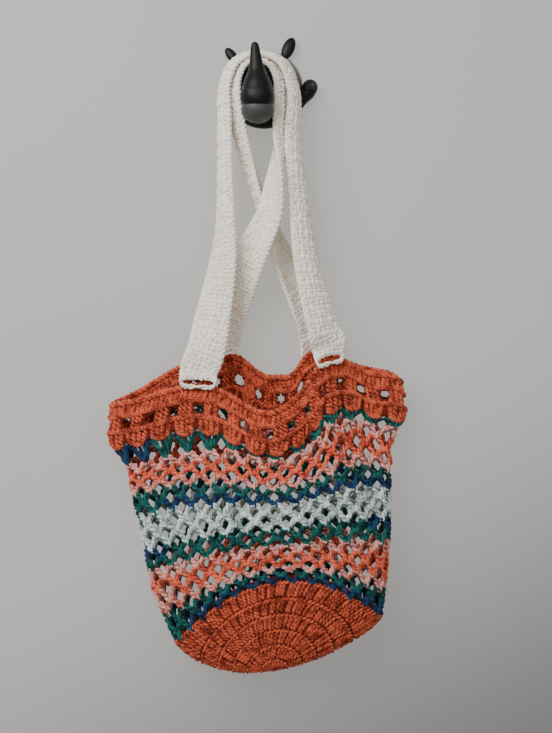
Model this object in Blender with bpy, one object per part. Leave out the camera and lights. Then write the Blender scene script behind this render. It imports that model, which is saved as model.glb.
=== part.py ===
"""A crocheted net bag hung by its two straps from an animal-head wall hook.

The wall is the plane Y = 0 and the room is at -Y. +Z is up and +X is to the right of someone who faces the wall.
The origin is the middle of the hook's flat back. Tables are in millimetres, and the scene is in metres.

The cloth pieces are laid out flat at their real size, as a maker would, and each point is then moved to where
it hangs: hung_wall() for the net and the rim band, hung_disc() for the base, hung_strap() for the straps.
"""

import collections
import functools
import math

import bmesh
import bpy
import numpy as np
from mathutils import Matrix, Vector

MM = 0.001
OBJECT_NAME = "crocheted_net_bag_on_hook"


def table(columns, rows):
    """Rows whose values are read by the names of their columns."""
    row_type = collections.namedtuple("Row", columns)
    return [row_type(*row) for row in rows]


def column(rows, name):
    return np.array([getattr(row, name) for row in rows], float)


# ---------------------------------------------------------------- driving sizes, in mm
ROUND_LENGTH = 700.0  # the wall's length around, laid flat
BAND_HEIGHT = 45.0
NET_ROWS = 18  # crocheted rows of V stitches between the band and the base
NET_ROW_HEIGHT = 9.7
NET_CELLS_AROUND = 20  # modelled gaps around and up: coarser than the 28 by 18 that are crocheted
NET_CELLS_UP = 12
STRAND_WIDTH = 11.5
STRAND_THICKNESS = 5.0
BASE_RADIUS = 112.0
BASE_ROUNDS = 7
BASE_RIB = (1.5, 2.5)  # half the thickness in a groove and on a ridge
STRAP_WIDTH = 42.0
STRAP_THICKNESS = 4.6
STRAP_OVERLAP = 4.5  # how far a strap's end is sewn down over the rim
SEAM_GAP = 0.9  # between two pieces that are sewn together
SEAM_HALF = 1.6  # half the thickness of net and base where they meet
BAND_HOLES = 20
SAMPLES_AROUND = 4 * BAND_HOLES
TUBE_RADIUS = ROUND_LENGTH / (2 * math.pi)

# How the wall hangs. Left and right are the silhouette's two sides; front and back are the middle of each face.
# An arch raises the middle of a face above the line between the two sides.
LEVELS = table("row left_x left_z right_x right_z side_y front_y back_y front_arch back_arch", (
    (-1, -169, -362, 153, -337, -37, -60, -17, 2, 10),
    (0, -165, -412, 153, -386, -39, -70, -12, 0, 8),
    (1.5, -152, -429, 143, -401, -41, -75, -10, 0, 7),
    (5, -143, -461, 139, -437, -43, -80, -8, 3, 6),
    (10, -129, -523, 138, -488, -45, -86, -7, 13, 10),
    (14, -119, -568, 135, -538, -45, -88, -7, 29, 22),
    (18, -96, -622, 129, -594, -42, -84, -9, 60, 46),
))
SECTION_POWER = 2.5  # 2 is an ellipse, and more is a squarer section

# Where the straps pull the rim up, and where it sags between them. drift moves a pull sideways as it goes down.
PULLS = table("face x half_width lift out fade drift", (
    ("front", -78, 48, 13, -3, 115, 0.00),
    ("front", 4, 37, -24, 6, 95, 0.10),
    ("front", 60, 15, 14, 5, 96, 0.24),
    ("front", 85, 27, 26, -4, 96, 0.25),
    ("front", 114, 34, 0, -18, 90, 0.00),
    ("front", 134, 28, 9, 0, 96, 0.45),
    ("back", -81, 55, 31, 0, 110, 0.00),
    ("back", -30, 23, 20, 0, 90, 0.00),
    ("back", 33, 12, -10, 0, 90, 0.00),
    ("back", 60, 34, 32, 0, 96, 0.10),
    ("back", 118, 53, 12, 0, 96, 0.00),
))
# Soft troughs (out < 0) and ridges that run down a face, between two depths below the rim.
FOLDS = table("face x half_width out top bottom drift", (
    ("front", 42, 9, -9, -20, 55, 0.30),
    ("front", 62, 10, 4, 0, 80, 0.35),
    ("front", 60, 13, -9, 70, 190, 0.12),
    ("front", -96, 16, -5, 60, 210, 0.10),
    ("front", -30, 22, 4, 40, 150, -0.15),
    ("front", 118, 12, -5, 60, 200, -0.05),
    ("back", -20, 26, -3, 10, 190, 0.10),
    ("back", 60, 20, -3, 60, 210, -0.05),
))

# The rim band from its rope edge (down = 0) to the net (down = 1), with its reach inwards and outwards.
BAND_ROWS = table("down inner outer", (
    (0.00, 2.0, 2.0),
    (0.09, 3.2, 3.2),
    (0.20, 2.0, 2.2),
    (0.48, 2.2, 2.6),
    (0.68, 2.2, 2.8),
    (0.86, 2.6, 3.8),
    (1.00, 1.9, 2.4),
))
BAND_HOLE_ROW = 3  # the holes lie between this row of the table and the next one

# The folded base: a section from the front edge, round the bottom, to the back edge.
BASE_BOTTOM_Y = -46.0
BASE_BOTTOM_DROP = 46.0  # the bottom of the fold, below the line between its two corners
BASE_BOTTOM_POWER = 0.5
BASE_CENTRE_AT = 0.3  # where the disc's centre lies along the section
BASE_RIM_SHARE = 0.955  # the outermost share of the radius where the disc's own direction is read

# The straps' routes, from one sewn end to the other. turn is 0 where a strap lies flat to the viewer and 90 where
# it stands edge-on. curl is the whole angle that its width bends through.
FRONT_STRAP = table("x y z turn curl", (
    (-63, -64, -306, 8, 20),
    (-56, -61, -269, 20, 34),
    (-47, -56, -205, 42, 80),
    (-44.5, -48, -137, 72, 130),
    (-44.5, -40, -46, 84, 150),
    (-44, -38, -8, 84, 120),
    (-33, -37, 20, 76, 50),
    (-6, -36, 31, 72, 24),
    (22, -37, 20, 76, 50),
    (34, -38, -12, 84, 120),
    (34, -42, -66, 80, 150),
    (42, -47, -137, 62, 130),
    (50, -56, -204, 46, 90),
    (61, -62, -258, 36, 50),
    (68, -63, -285, 31, 30),
))
BACK_STRAP = table("x y z turn curl", (
    (-44, -17, -274, 6, 20),
    (-32, -30, -240, 10, 30),
    (-13, -48, -197, 24, 50),
    (9, -58, -154, 46, 80),
    (15.5, -54, -112, 66, 110),
    (19, -41, -66, 94, 140),
    (20, -37, -28, 102, 100),
    (18.5, -36.5, -2, 106, 60),
    (10.1, -36, 12.2, 112, 30),
    (-6, -35, 18.5, 114, 16),
    (-22.1, -36, 12.2, 110, 30),
    (-30.5, -36.5, -2, 104, 60),
    (-32, -37, -26, 100, 100),
    (-27, -34, -62, 94, 140),
    (-15, -24, -104, 84, 130),
    (1, -20, -150, 74, 110),
    (23, -18, -205, 48, 90),
    (46, -14, -250, 30, 50),
    (58, -12, -275, 14, 30),
))
# Where the straps' ends are sewn, by X, and the share of its width that an end is gathered to.
STRAP_ENDS = table("strap face x gather", (
    ("strap_front", "front", -70, 0.94),
    ("strap_front", "front", 73, 0.78),
    ("strap_back", "back", -50, 1.0),
    ("strap_back", "back", 62, 1.0),
))
STRAP_OFF_RIM = max(row.outer for row in BAND_ROWS) + 0.4 + STRAP_THICKNESS / 2
STRAP_SETTLE = 24.0  # the length over which a strap leaves the rim's curve for its own
STRAP_STATIONS = 56
STRAP_ACROSS = 5

# The hook's round body: a boss on the wall and a drooping neck that the straps lie on.
HOOK_RINGS = table("y radius x z", (
    (0, 41.0, 0, 0),
    (-3, 43.0, 0, 0),
    (-8, 43.0, 0, 0),
    (-10.5, 40.0, 0, 0),
    (-11, 23.0, -3, -3),
    (-14, 21.5, -4, -4),
    (-34, 18.8, -6, -7.5),
    (-54, 14.8, -6.5, -11.5),
    (-58, 13.0, -6.5, -12),
))
HEAD_CENTRE = (-6.0, -72.0, -32.0)
HEAD_RADII = (18.5, 19.0, 27.0)
HEAD_TOP_Z = -15.0
HEAD_BACK_Y = -58.3
HORN = table("x y z radius", (
    (-6.0, -73.0, -14.6, 13.2),
    (-6.0, -73.0, -11.0, 11.4),
    (-7.0, -75.0, -3.0, 8.3),
    (-7.8, -78.0, 7.0, 6.2),
    (-8.4, -80.5, 17.0, 4.6),
    (-8.5, -82.0, 23.0, 2.6),
))
LEFT_EAR = table("x y z radius", (
    (-30.9, -6, 30.9, 3.6),
    (-33.2, -6, 33.2, 4.4),
    (-37.5, -6, 38.5, 5.2),
    (-41.2, -6, 43.2, 4.6),
    (-43.2, -6, 46.0, 2.6),
))
RIGHT_EAR = table("x y z radius", (
    (23.2, -6, 37.0, 3.6),
    (24.8, -6.5, 39.6, 5.0),
    (28.2, -7.5, 46.5, 6.4),
    (31.0, -7, 53.0, 5.4),
    (32.5, -7, 57.5, 2.6),
))
LUG = table("x y z radius", (
    (38.0, -6, -21.8, 3.0),
    (41.0, -6, -23.4, 3.4),
    (46.0, -8, -18.5, 5.0),
    (50.6, -10, -10.0, 7.4),
    (53.2, -10.5, -1.0, 9.6),
    (53.6, -10.5, 5.5, 7.6),
))
ROUND_SIDES = 16
ROD_SIDES = 8

# ---------------------------------------------------------------- finishes
FINISHES = {
    "coral_cotton": dict(colour=(0.55, 0.12, 0.045, 1), roughness=0.85, metallic=0.0),
    "striped_cotton": dict(colour=(0.10, 0.28, 0.27, 1), roughness=0.85, metallic=0.0),
    "white_cotton": dict(colour=(0.74, 0.72, 0.66, 1), roughness=0.85, metallic=0.0),
    "black_resin": dict(colour=(0.012, 0.014, 0.014, 1), roughness=0.25, metallic=0.0),
    "grey_resin": dict(colour=(0.15, 0.17, 0.17, 1), roughness=0.3, metallic=0.0),
}


def smooth(value):
    """Rises from 0 to 1 as value does, with level ends."""
    value = min(max(value, 0.0), 1.0)
    return value * value * (3 - 2 * value)


def bell(value):
    return math.exp(-value * value)


def through(places, values, at):
    """A smooth curve through (places, values), read at a place."""
    slopes = np.gradient(values, places)
    k = int(np.clip(np.searchsorted(places, at) - 1, 0, len(places) - 2))
    span = places[k + 1] - places[k]
    t = (at - places[k]) / span
    if t < 0:
        return values[0] + slopes[0] * (at - places[0])
    if t > 1:
        return values[-1] + slopes[-1] * (at - places[-1])
    a, b = 2 * t**3 - 3 * t**2 + 1, t**3 - 2 * t**2 + t
    c, d = -2 * t**3 + 3 * t**2, t**3 - t**2
    return a * values[k] + b * span * slopes[k] + c * values[k + 1] + d * span * slopes[k + 1]


# ---------------------------------------------------------------- where the wall hangs
def depth_below_rim(row):
    return (row + 1) * BAND_HEIGHT if row < 0 else BAND_HEIGHT + row * NET_ROW_HEIGHT


@functools.lru_cache(maxsize=None)
def level(row):
    """The table of levels read at a row, by its depth below the rim."""
    depths = np.array([depth_below_rim(r) for r in column(LEVELS, "row")])
    at = depth_below_rim(row)
    return {name: float(through(depths, column(LEVELS, name), at)) for name in LEVELS[0]._fields[1:]}


def face_offsets(face, x, row):
    """(lift, out) of the pulls and folds of one face at X and a row."""
    down = depth_below_rim(row)
    lift = out = 0.0
    for pull in PULLS:
        if pull.face == face:
            share = bell((x - pull.x - pull.drift * down) / pull.half_width) * bell(down / pull.fade)
            lift += pull.lift * share
            out += pull.out * share
    for fold in FOLDS:
        if fold.face == face:
            past_middle, reach = down - (fold.top + fold.bottom) / 2, (fold.bottom - fold.top) / 2
            share = bell((x - fold.x - fold.drift * past_middle) / fold.half_width)
            out += fold.out * share * bell(past_middle / reach)
    return lift, out


def section_point(row, angle):
    """A point of the wall at a row: angle runs from pi at the left, over the front, to 2 pi at the right, and back."""
    at = level(row)
    middle_x, half_x = (at["left_x"] + at["right_x"]) / 2, (at["right_x"] - at["left_x"]) / 2
    power = 2 / SECTION_POWER
    across = math.copysign(abs(math.cos(angle)) ** power, math.cos(angle))
    deep = math.copysign(abs(math.sin(angle)) ** power, math.sin(angle))
    x = middle_x + half_x * across
    side_z = at["left_z"] + (at["right_z"] - at["left_z"]) * (across + 1) / 2
    face, reach_y, arch = ("front", at["front_y"], at["front_arch"]) if deep < 0 else (
        "back", at["back_y"], at["back_arch"])
    lift, out = face_offsets(face, x, row)
    share = smooth(abs(deep) / 0.55)
    away = -1 if face == "front" else 1
    y = at["side_y"] + (reach_y - at["side_y"]) * abs(deep) + away * out * share
    return Vector((x, y, side_z + arch * (1 - across * across) + lift * share))


LOOP_STEPS = 96


@functools.lru_cache(maxsize=None)
def wall_loop(row):
    """The front and the back half of a row, each as (length so far from 0 to 1, points)."""
    halves = []
    for start, end in ((math.pi, 2 * math.pi), (0, math.pi)):
        # The angles crowd towards the two sides, where the section turns fastest.
        angles = [start + (end - start) * k / LOOP_STEPS for k in range(LOOP_STEPS + 1)]
        points = np.array([section_point(row, a) for a in angles])
        steps = np.linalg.norm(np.diff(points, axis=0), axis=1)
        length = np.concatenate([[0], np.cumsum(steps)])
        halves.append((length / length[-1], points))
    return halves


def wall_point(around, row):
    """around is 0 at the left side, 0.25 at the middle of the front, 0.5 at the right side and 0.75 at the back."""
    around %= 1.0
    share, points = wall_loop(round(row, 4))[0 if around < 0.5 else 1]
    at = around * 2 % 1.0
    return Vector([float(np.interp(at, share, points[:, k])) for k in range(3)])


def wall_normal(around, row):
    along = wall_point(around + 0.004, row) - wall_point(around - 0.004, row)
    down = wall_point(around, row + 0.12) - wall_point(around, row - 0.12)
    return along.cross(-down).normalized()


def seam_normal(around):
    """The thickness direction that the net and the base share where they meet."""
    return (wall_normal(around, NET_ROWS - 0.3) + disc_normal(around)).normalized()


def hung_wall(around, row, out):
    """Where a point of the flat wall hangs, out mm from its middle surface."""
    normal = wall_normal(around, row)
    if row > NET_ROWS - 1:
        normal = normal.lerp(seam_normal(around), smooth(row - NET_ROWS + 1)).normalized()
    return wall_point(around, row) + normal * out


# ---------------------------------------------------------------- where the base hangs
def around_of(x, y):
    """The place around the wall that a point of the flat disc faces: left is 0 and the front is 0.25."""
    return math.atan2(-y, -x) / (2 * math.pi) % 1.0


@functools.lru_cache(maxsize=None)
def disc_section(across):
    """The fold's section at a share of the radius to the right: (lengths before and after the centre, points)."""
    around = math.acos(-across) / (2 * math.pi)
    front, back = wall_point(around, NET_ROWS), wall_point(1 - around, NET_ROWS)
    at = level(NET_ROWS)
    side_z = at["left_z"] + (at["right_z"] - at["left_z"]) * (across + 1) / 2
    open_share = (1 - across * across) ** BASE_BOTTOM_POWER
    middle = (front + back) / 2
    bottom_y = middle.y + (BASE_BOTTOM_Y - middle.y) * open_share
    bottom = Vector((middle.x, bottom_y, side_z - BASE_BOTTOM_DROP * open_share))
    control = 2 * bottom - middle
    points = []
    for k in range(65):
        t = k / 64
        points.append(front * (1 - t) ** 2 + control * (2 * t * (1 - t)) + back * t**2)
    points = np.array(points)
    length = np.concatenate([[0], np.cumsum(np.linalg.norm(np.diff(points, axis=0), axis=1))])
    centre = np.interp(BASE_CENTRE_AT, np.linspace(0, 1, 65), length)
    before, after = max(centre, 1e-9), max(length[-1] - centre, 1e-9)
    share = np.where(length < centre, length / before - 1, (length - centre) / after)
    return share, points


def disc_point(x, y):
    """Where a point of the flat base hangs. x and y are shares of its radius, with the front at -y."""
    across = min(max(x, -0.9995), 0.9995)
    chord = math.sqrt(1 - across * across)
    share, points = disc_section(round(across, 4))
    at = min(max(y / chord, -1.0), 1.0)
    return Vector([float(np.interp(at, share, points[:, k])) for k in range(3)])


def disc_normal(around, radius=BASE_RIM_SHARE):
    """The outward direction of the hung base near its edge or inside it."""
    turn = 2 * math.pi * around
    x, y = -radius * math.cos(turn), -radius * math.sin(turn)
    step = 0.03
    right = disc_point(x + step, y) - disc_point(x - step, y)
    back = disc_point(x, y + step) - disc_point(x, y - step)
    return back.cross(right).normalized()


def hung_disc(x, y, out):
    radius, around = math.hypot(x, y), around_of(x, y)
    normal = disc_normal(around, min(radius, BASE_RIM_SHARE))
    if radius > 0.9:
        normal = normal.lerp(seam_normal(around), smooth((radius - 0.9) / 0.1)).normalized()
    return disc_point(x, y) + normal * out


# ---------------------------------------------------------------- where the straps hang
def around_at(face, x):
    """The place around the rim of one face at an X."""
    low, high = (0.0, 0.5) if face == "front" else (1.0, 0.5)
    for _ in range(30):
        middle = (low + high) / 2
        low, high = (middle, high) if wall_point(middle, -1).x < x else (low, middle)
    return low


def rim_stretch(around):
    """The rim's hung length per unit of around, in mm."""
    return (wall_point(around + 0.02, -1) - wall_point(around - 0.02, -1)).length / 0.04


def sewn_point(middle, sideways, along, out):
    """A point beside the rim's outer face: sideways mm from a strap's middle and along mm up from the rim."""
    around = middle + sideways / rim_stretch(middle)
    row = -1 - min(along, 0) / BAND_HEIGHT
    up = (wall_point(middle, -1) - wall_point(middle, -0.8)).normalized()
    return wall_point(around, row) + up * max(along, 0) + wall_normal(around, row) * out


def ends_of(name):
    return [end for end in STRAP_ENDS if end.strap == name]


def strap_route(name, rows):
    """The strap's stations, each (centre, direction, turn, curl), its length and its ends' places around."""
    ends, arounds = [], []
    for end in ends_of(name):
        around = around_at(end.face, end.x)
        arounds.append(around)
        ends.append([(*sewn_point(around, 0, along, STRAP_OFF_RIM), 0, 4) for along in (-STRAP_OVERLAP, 2, 10)])
    rows = np.array(ends[0] + [tuple(row) for row in rows] + ends[1][::-1], float)
    places = np.concatenate([[0], np.cumsum(np.linalg.norm(np.diff(rows[:, :3], axis=0), axis=1))])
    fine = np.linspace(0, places[-1], 600)
    route = np.array([[through(places, rows[:, k], s) for k in range(5)] for s in fine])
    length = np.concatenate([[0], np.cumsum(np.linalg.norm(np.diff(route[:, :3], axis=0), axis=1))])
    stations = []
    for k in range(STRAP_STATIONS + 1):
        s = length[-1] * k / STRAP_STATIONS
        at = [float(np.interp(s, length, route[:, i])) for i in range(5)]
        before = [float(np.interp(s - 2, length, route[:, i])) for i in range(3)]
        after = [float(np.interp(s + 2, length, route[:, i])) for i in range(3)]
        stations.append((Vector(at[:3]), (Vector(after) - Vector(before)).normalized(), at[3], at[4]))
    return stations, length[-1], arounds


def strap_section(centre, direction, turn, curl, bulge, across, out):
    """A point of the free strap: across runs from -1 to 1, towards the edge that is near the viewer at the hook.

    out is from its middle surface, and bulge is 1 or -1, for the side that the curl swells to.
    """
    to_viewer = Vector((0, -1, 0))
    to_viewer = (to_viewer - direction * to_viewer.dot(direction)).normalized()
    sideways = direction.cross(to_viewer)
    turn = math.radians(turn)
    width = sideways * math.cos(turn) + to_viewer * math.sin(turn)
    face = width.cross(direction)
    bend = math.radians(max(curl, 2))
    radius, angle = STRAP_WIDTH / bend, across * bend / 2
    mean = radius * (1 - math.sin(bend / 2) / (bend / 2))
    reach = radius + out * bulge
    return centre + width * (reach * math.sin(angle)) + face * bulge * (
        reach * math.cos(angle) - radius + mean)


def hung_strap(name, route, bulge, s, across, out):
    """Where a point of the flat strap hangs: beside the rim at its two ends, and free between them."""
    stations, length, arounds = route
    at = s / length * STRAP_STATIONS
    k = min(int(at), STRAP_STATIONS - 1)
    centre, direction, turn, curl = (a + (b - a) * (at - k) for a, b in zip(stations[k], stations[k + 1]))
    free = strap_section(centre, direction.normalized(), turn, curl, bulge, across, out)
    for from_end, side, around, end in zip((s, length - s), (1, -1), arounds, ends_of(name)):
        along = from_end - STRAP_OVERLAP
        share = 1 - smooth((along - 2) / STRAP_SETTLE)
        if share > 0:
            # On the back face the wall runs the other way along X, and the strap's outer side is its inner one.
            facing = 1 if end.face == "front" else -1
            sideways = facing * side * across * STRAP_WIDTH / 2 * end.gather
            free = free.lerp(sewn_point(around, sideways, along, STRAP_OFF_RIM + facing * out), share)
    return free


# ---------------------------------------------------------------- making meshes
def finish_of(name):
    material = bpy.data.materials.get(name)
    if material is None:
        material = bpy.data.materials.new(name)
        material.use_nodes = True
        shader = material.node_tree.nodes["Principled BSDF"]
        shader.inputs["Base Color"].default_value = FINISHES[name]["colour"]
        shader.inputs["Roughness"].default_value = FINISHES[name]["roughness"]
        shader.inputs["Metallic"].default_value = FINISHES[name]["metallic"]
        material.diffuse_color = FINISHES[name]["colour"]
    return material


def place(bm, name, finish, collection, turn_out=True):
    """Makes bm, which is in mm, the mesh of a new object."""
    bmesh.ops.remove_doubles(bm, verts=bm.verts, dist=0.002)
    if turn_out:
        bmesh.ops.recalc_face_normals(bm, faces=bm.faces)
    bmesh.ops.transform(bm, matrix=Matrix.Scale(MM, 4), verts=bm.verts)
    mesh = bpy.data.meshes.new(name)
    bm.to_mesh(mesh)
    bm.free()
    mesh.shade_smooth()
    mesh.set_sharp_from_angle(angle=math.radians(50))
    mesh.materials.append(finish_of(finish))
    obj = bpy.data.objects.new(name, mesh)
    collection.objects.link(obj)
    return obj


def straight_tube(heights, steps):
    """An open tube as long as one round of the bag, with a ring of points at each height below its top."""
    bm = bmesh.new()
    verts = [bm.verts.new((TUBE_RADIUS, 0, -h)) for h in heights]
    edges = [bm.edges.new(pair) for pair in zip(verts, verts[1:])]
    bmesh.ops.spin(
        bm, geom=verts + edges, cent=(0, 0, 0), axis=(0, 0, 1), angle=2 * math.pi, steps=steps, use_merge=True)
    bmesh.ops.recalc_face_normals(bm, faces=bm.faces)
    return bm


def around_tube(co):
    return math.atan2(co.y, co.x) / (2 * math.pi) % 1.0


def thicken(bm, halves, hang):
    """Gives an open sheet two faces and moves them to where they hang.

    halves(co) is how far the (inner, outer) face reaches there, and (0, 0) closes the sheet to an edge.
    hang(co, out) is the hung place of a point that is out from the sheet's middle surface.
    """
    inner = bm.verts[:]
    made = bmesh.ops.extrude_face_region(bm, geom=bm.faces[:], use_keep_orig=True)["geom"]
    outer = [g for g in made if isinstance(g, bmesh.types.BMVert)]
    for verts, face, away in ((inner, 0, -1), (outer, 1, 1)):
        for v in verts:
            v.co = hang(v.co, away * halves(v.co)[face])


# ---------------------------------------------------------------- the cloth pieces
def make_net(collection):
    """A lattice of diamonds: each lattice line is a strand with a ridge on both faces and thin edges."""
    steps, height = 2 * NET_CELLS_AROUND, NET_ROWS * NET_ROW_HEIGHT
    lift = height / NET_CELLS_UP
    bm = straight_tube([lift * k for k in range(NET_CELLS_UP + 1)], steps)

    def grid_place(co):
        return around_tube(co) * steps, -co.z / lift

    def on_lattice(v):
        across, down = grid_place(v.co)
        return (round(across) + round(down)) % 2 == 0

    # Each face of the tube gets the diagonal that joins two lattice nodes.
    for face in bm.faces[:]:
        bmesh.utils.face_split(face, *[v for v in face.verts if on_lattice(v)])
    # A diamond is the faces round a point that is off the lattice, so that point and its edges go.
    bmesh.ops.dissolve_verts(bm, verts=[v for v in bm.verts if not on_lattice(v) and not v.is_boundary])
    short = [e for e in bm.edges if not e.is_boundary and not all(on_lattice(v) for v in e.verts)]
    bmesh.ops.dissolve_edges(bm, edges=short, use_verts=False)
    # The half diamonds along both edges stay whole.
    gaps = [face for face in bm.faces if not any(e.is_boundary for e in face.edges)]
    bmesh.ops.bisect_edges(bm, edges=[e for e in bm.edges if e.is_boundary], cuts=1)
    bmesh.ops.inset_individual(bm, faces=gaps, thickness=STRAND_WIDTH / 2, use_even_offset=True)
    bmesh.ops.delete(bm, geom=gaps, context="FACES_ONLY")
    # The two sides of the sheet are copies of these triangles, so that they can't cross.
    bmesh.ops.triangulate(bm, faces=bm.faces)
    room = SEAM_GAP / NET_ROW_HEIGHT

    def halves(co):
        across, down = grid_place(co)
        if min(down, NET_CELLS_UP - down) < 0.01:
            return (SEAM_HALF, SEAM_HALF)
        on_node = abs(across - round(across)) + abs(down - round(down)) < 0.08
        return (STRAND_THICKNESS / 2,) * 2 if on_node else (0.0, 0.0)

    def hang(co, out):
        return hung_wall(around_tube(co), room / 2 - co.z / height * (NET_ROWS - room), out)

    thicken(bm, halves, hang)
    return place(bm, "net_wall", "striped_cotton", collection)


def make_band(collection):
    """The dense band, with its row of holes, its rope edge and its proud lower rounds."""
    downs = column(BAND_ROWS, "down")
    bm = straight_tube(downs * BAND_HEIGHT, SAMPLES_AROUND)
    top, bottom = (-downs[BAND_HOLE_ROW + k] * BAND_HEIGHT for k in (0, 1))
    holes = []
    for face in bm.faces:
        at = face.calc_center_median()
        if bottom < at.z < top and int(around_tube(at) * SAMPLES_AROUND) % 4 == 1:
            holes.append(face)
    bmesh.ops.delete(bm, geom=holes, context="FACES")
    room = SEAM_GAP / 2 / BAND_HEIGHT

    def halves(co):
        return [float(np.interp(-co.z / BAND_HEIGHT, downs, column(BAND_ROWS, n))) for n in ("inner", "outer")]

    def hang(co, out):
        return hung_wall(around_tube(co), -1 - co.z / BAND_HEIGHT * (1 - room), out)

    thicken(bm, halves, hang)
    return place(bm, "rim_band", "coral_cotton", collection)


def make_base(collection):
    """The flat round base with its raised rounds, folded as the empty bag hangs."""
    bm = bmesh.new()
    steps = 2 * BASE_ROUNDS
    bmesh.ops.create_circle(bm, cap_ends=True, cap_tris=True, segments=SAMPLES_AROUND // 2, radius=1 / steps)
    edge = [e for e in bm.edges if e.is_boundary]
    for k in range(2, steps + 1):
        grown = bmesh.ops.extrude_edge_only(bm, edges=edge)["geom"]
        edge = [g for g in grown if isinstance(g, bmesh.types.BMEdge)]
        ring = list({v for e in edge for v in e.verts})
        bmesh.ops.scale(bm, vec=(k / (k - 1), k / (k - 1), 1), verts=ring)
    bmesh.ops.bisect_edges(bm, edges=edge, cuts=1)
    for v in bm.verts:
        if v.is_boundary:
            v.co = v.co.normalized()

    def halves(co):
        reach = math.hypot(co.x, co.y)
        if reach > 1 - 0.5 / steps:
            return (SEAM_HALF, SEAM_HALF)
        return (BASE_RIB[round(reach * steps) % 2],) * 2

    room = 1 - SEAM_GAP / 2 / BASE_RADIUS
    thicken(bm, halves, lambda co, out: hung_disc(co.x * room, co.y * room, out))
    return place(bm, "base_disc", "coral_cotton", collection)


def make_strap(name, rows, bulge, collection):
    route = strap_route(name, rows)
    length = route[1]
    bm = bmesh.new()
    bmesh.ops.create_grid(bm, x_segments=STRAP_STATIONS, y_segments=STRAP_ACROSS, size=0.5)

    def hang(co, out):
        return hung_strap(name, route, bulge, (co.x + 0.5) * length, co.y * 2, out)

    thicken(bm, lambda co: (STRAP_THICKNESS / 2,) * 2, hang)
    return place(bm, name, "white_cotton", collection)


# ---------------------------------------------------------------- the hook
def make_hook_base(collection):
    bm = bmesh.new()
    bmesh.ops.create_circle(bm, cap_ends=True, segments=2 * ROUND_SIDES, radius=HOOK_RINGS[0].radius)
    bmesh.ops.rotate(bm, matrix=Matrix.Rotation(math.pi / 2, 3, "X"), verts=bm.verts)
    edge = bm.edges[:]
    for last, ring in zip(HOOK_RINGS, HOOK_RINGS[1:]):
        grown = bmesh.ops.extrude_edge_only(bm, edges=edge)["geom"]
        edge = [g for g in grown if isinstance(g, bmesh.types.BMEdge)]
        centre, centre_next = Vector((last.x, last.y, last.z)), Vector((ring.x, ring.y, ring.z))
        for v in {v for e in edge for v in e.verts}:
            v.co = centre_next + (v.co - centre) * (ring.radius / last.radius)
    bmesh.ops.holes_fill(bm, edges=edge)
    return place(bm, "hook_base", "grey_resin", collection)


def make_head(collection):
    bm = bmesh.new()
    bmesh.ops.create_uvsphere(bm, u_segments=ROUND_SIDES, v_segments=ROUND_SIDES // 2, radius=1)
    for v in bm.verts:
        v.co = [c + r * k for c, r, k in zip(HEAD_CENTRE, HEAD_RADII, v.co)]
    for at, away in (((0, 0, HEAD_TOP_Z), (0, 0, 1)), ((0, HEAD_BACK_Y, 0), (0, 1, 0))):
        geometry = bm.verts[:] + bm.edges[:] + bm.faces[:]
        cut = bmesh.ops.bisect_plane(bm, geom=geometry, plane_co=at, plane_no=away, clear_outer=True)["geom_cut"]
        bmesh.ops.holes_fill(bm, edges=[g for g in cut if isinstance(g, bmesh.types.BMEdge)])
    return place(bm, "hook_head", "black_resin", collection)


def make_tapered(name, rows, collection):
    """A tapered rod with flat ends through the rows' points."""
    curve = bpy.data.curves.new(name, "CURVE")
    curve.dimensions = "3D"
    curve.bevel_depth = MM
    curve.bevel_resolution = ROD_SIDES // 2 - 2
    curve.use_fill_caps = True
    spline = curve.splines.new("POLY")
    spline.points.add(len(rows) - 1)
    for point, row in zip(spline.points, rows):
        point.co = (row.x * MM, row.y * MM, row.z * MM, 1)
        point.radius = row.radius
    curve.materials.append(finish_of("black_resin"))
    obj = bpy.data.objects.new(name, curve)
    collection.objects.link(obj)
    return obj


def main():
    for obj in list(bpy.data.objects):
        bpy.data.objects.remove(obj)
    collection = bpy.data.collections.new(OBJECT_NAME)
    bpy.context.scene.collection.children.link(collection)
    make_base(collection)
    make_net(collection)
    make_band(collection)
    make_strap("strap_front", FRONT_STRAP, 1, collection)
    make_strap("strap_back", BACK_STRAP, -1, collection)
    make_hook_base(collection)
    make_head(collection)
    make_tapered("hook_horn", HORN, collection)
    make_tapered("hook_ear_left", LEFT_EAR, collection)
    make_tapered("hook_ear_right", RIGHT_EAR, collection)
    make_tapered("hook_lug", LUG, collection)


main()
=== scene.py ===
"""The crocheted net bag on its hook, stitch by stitch.

Every stitch is laid out flat, in millimetres, as a maker would work it: u along the round, v down from
the rim and w out of the cloth. The folds that shape the frame's solids then move it to where it hangs.
"""

import collections
import math

import bmesh
import bpy
import numpy as np
from mathutils import Matrix, Vector

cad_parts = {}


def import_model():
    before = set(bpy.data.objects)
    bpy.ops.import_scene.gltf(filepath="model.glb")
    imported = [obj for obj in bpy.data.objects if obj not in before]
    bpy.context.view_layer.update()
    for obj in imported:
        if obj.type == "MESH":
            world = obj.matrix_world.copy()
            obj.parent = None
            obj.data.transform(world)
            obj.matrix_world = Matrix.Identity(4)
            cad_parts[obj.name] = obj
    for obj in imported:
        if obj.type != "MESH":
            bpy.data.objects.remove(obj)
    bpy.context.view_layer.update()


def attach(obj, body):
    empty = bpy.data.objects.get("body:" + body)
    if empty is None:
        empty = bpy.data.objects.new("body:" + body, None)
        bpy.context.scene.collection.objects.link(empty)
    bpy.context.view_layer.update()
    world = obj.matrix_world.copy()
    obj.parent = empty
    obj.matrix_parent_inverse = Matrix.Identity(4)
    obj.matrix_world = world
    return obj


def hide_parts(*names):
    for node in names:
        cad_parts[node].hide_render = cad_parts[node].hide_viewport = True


MM = 0.001
TURN = 2 * math.pi
RANDOM = np.random.default_rng(7)


def jitter(spread, shape):
    """Small differences between stitches."""
    return RANDOM.normal(0, spread, shape)


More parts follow.
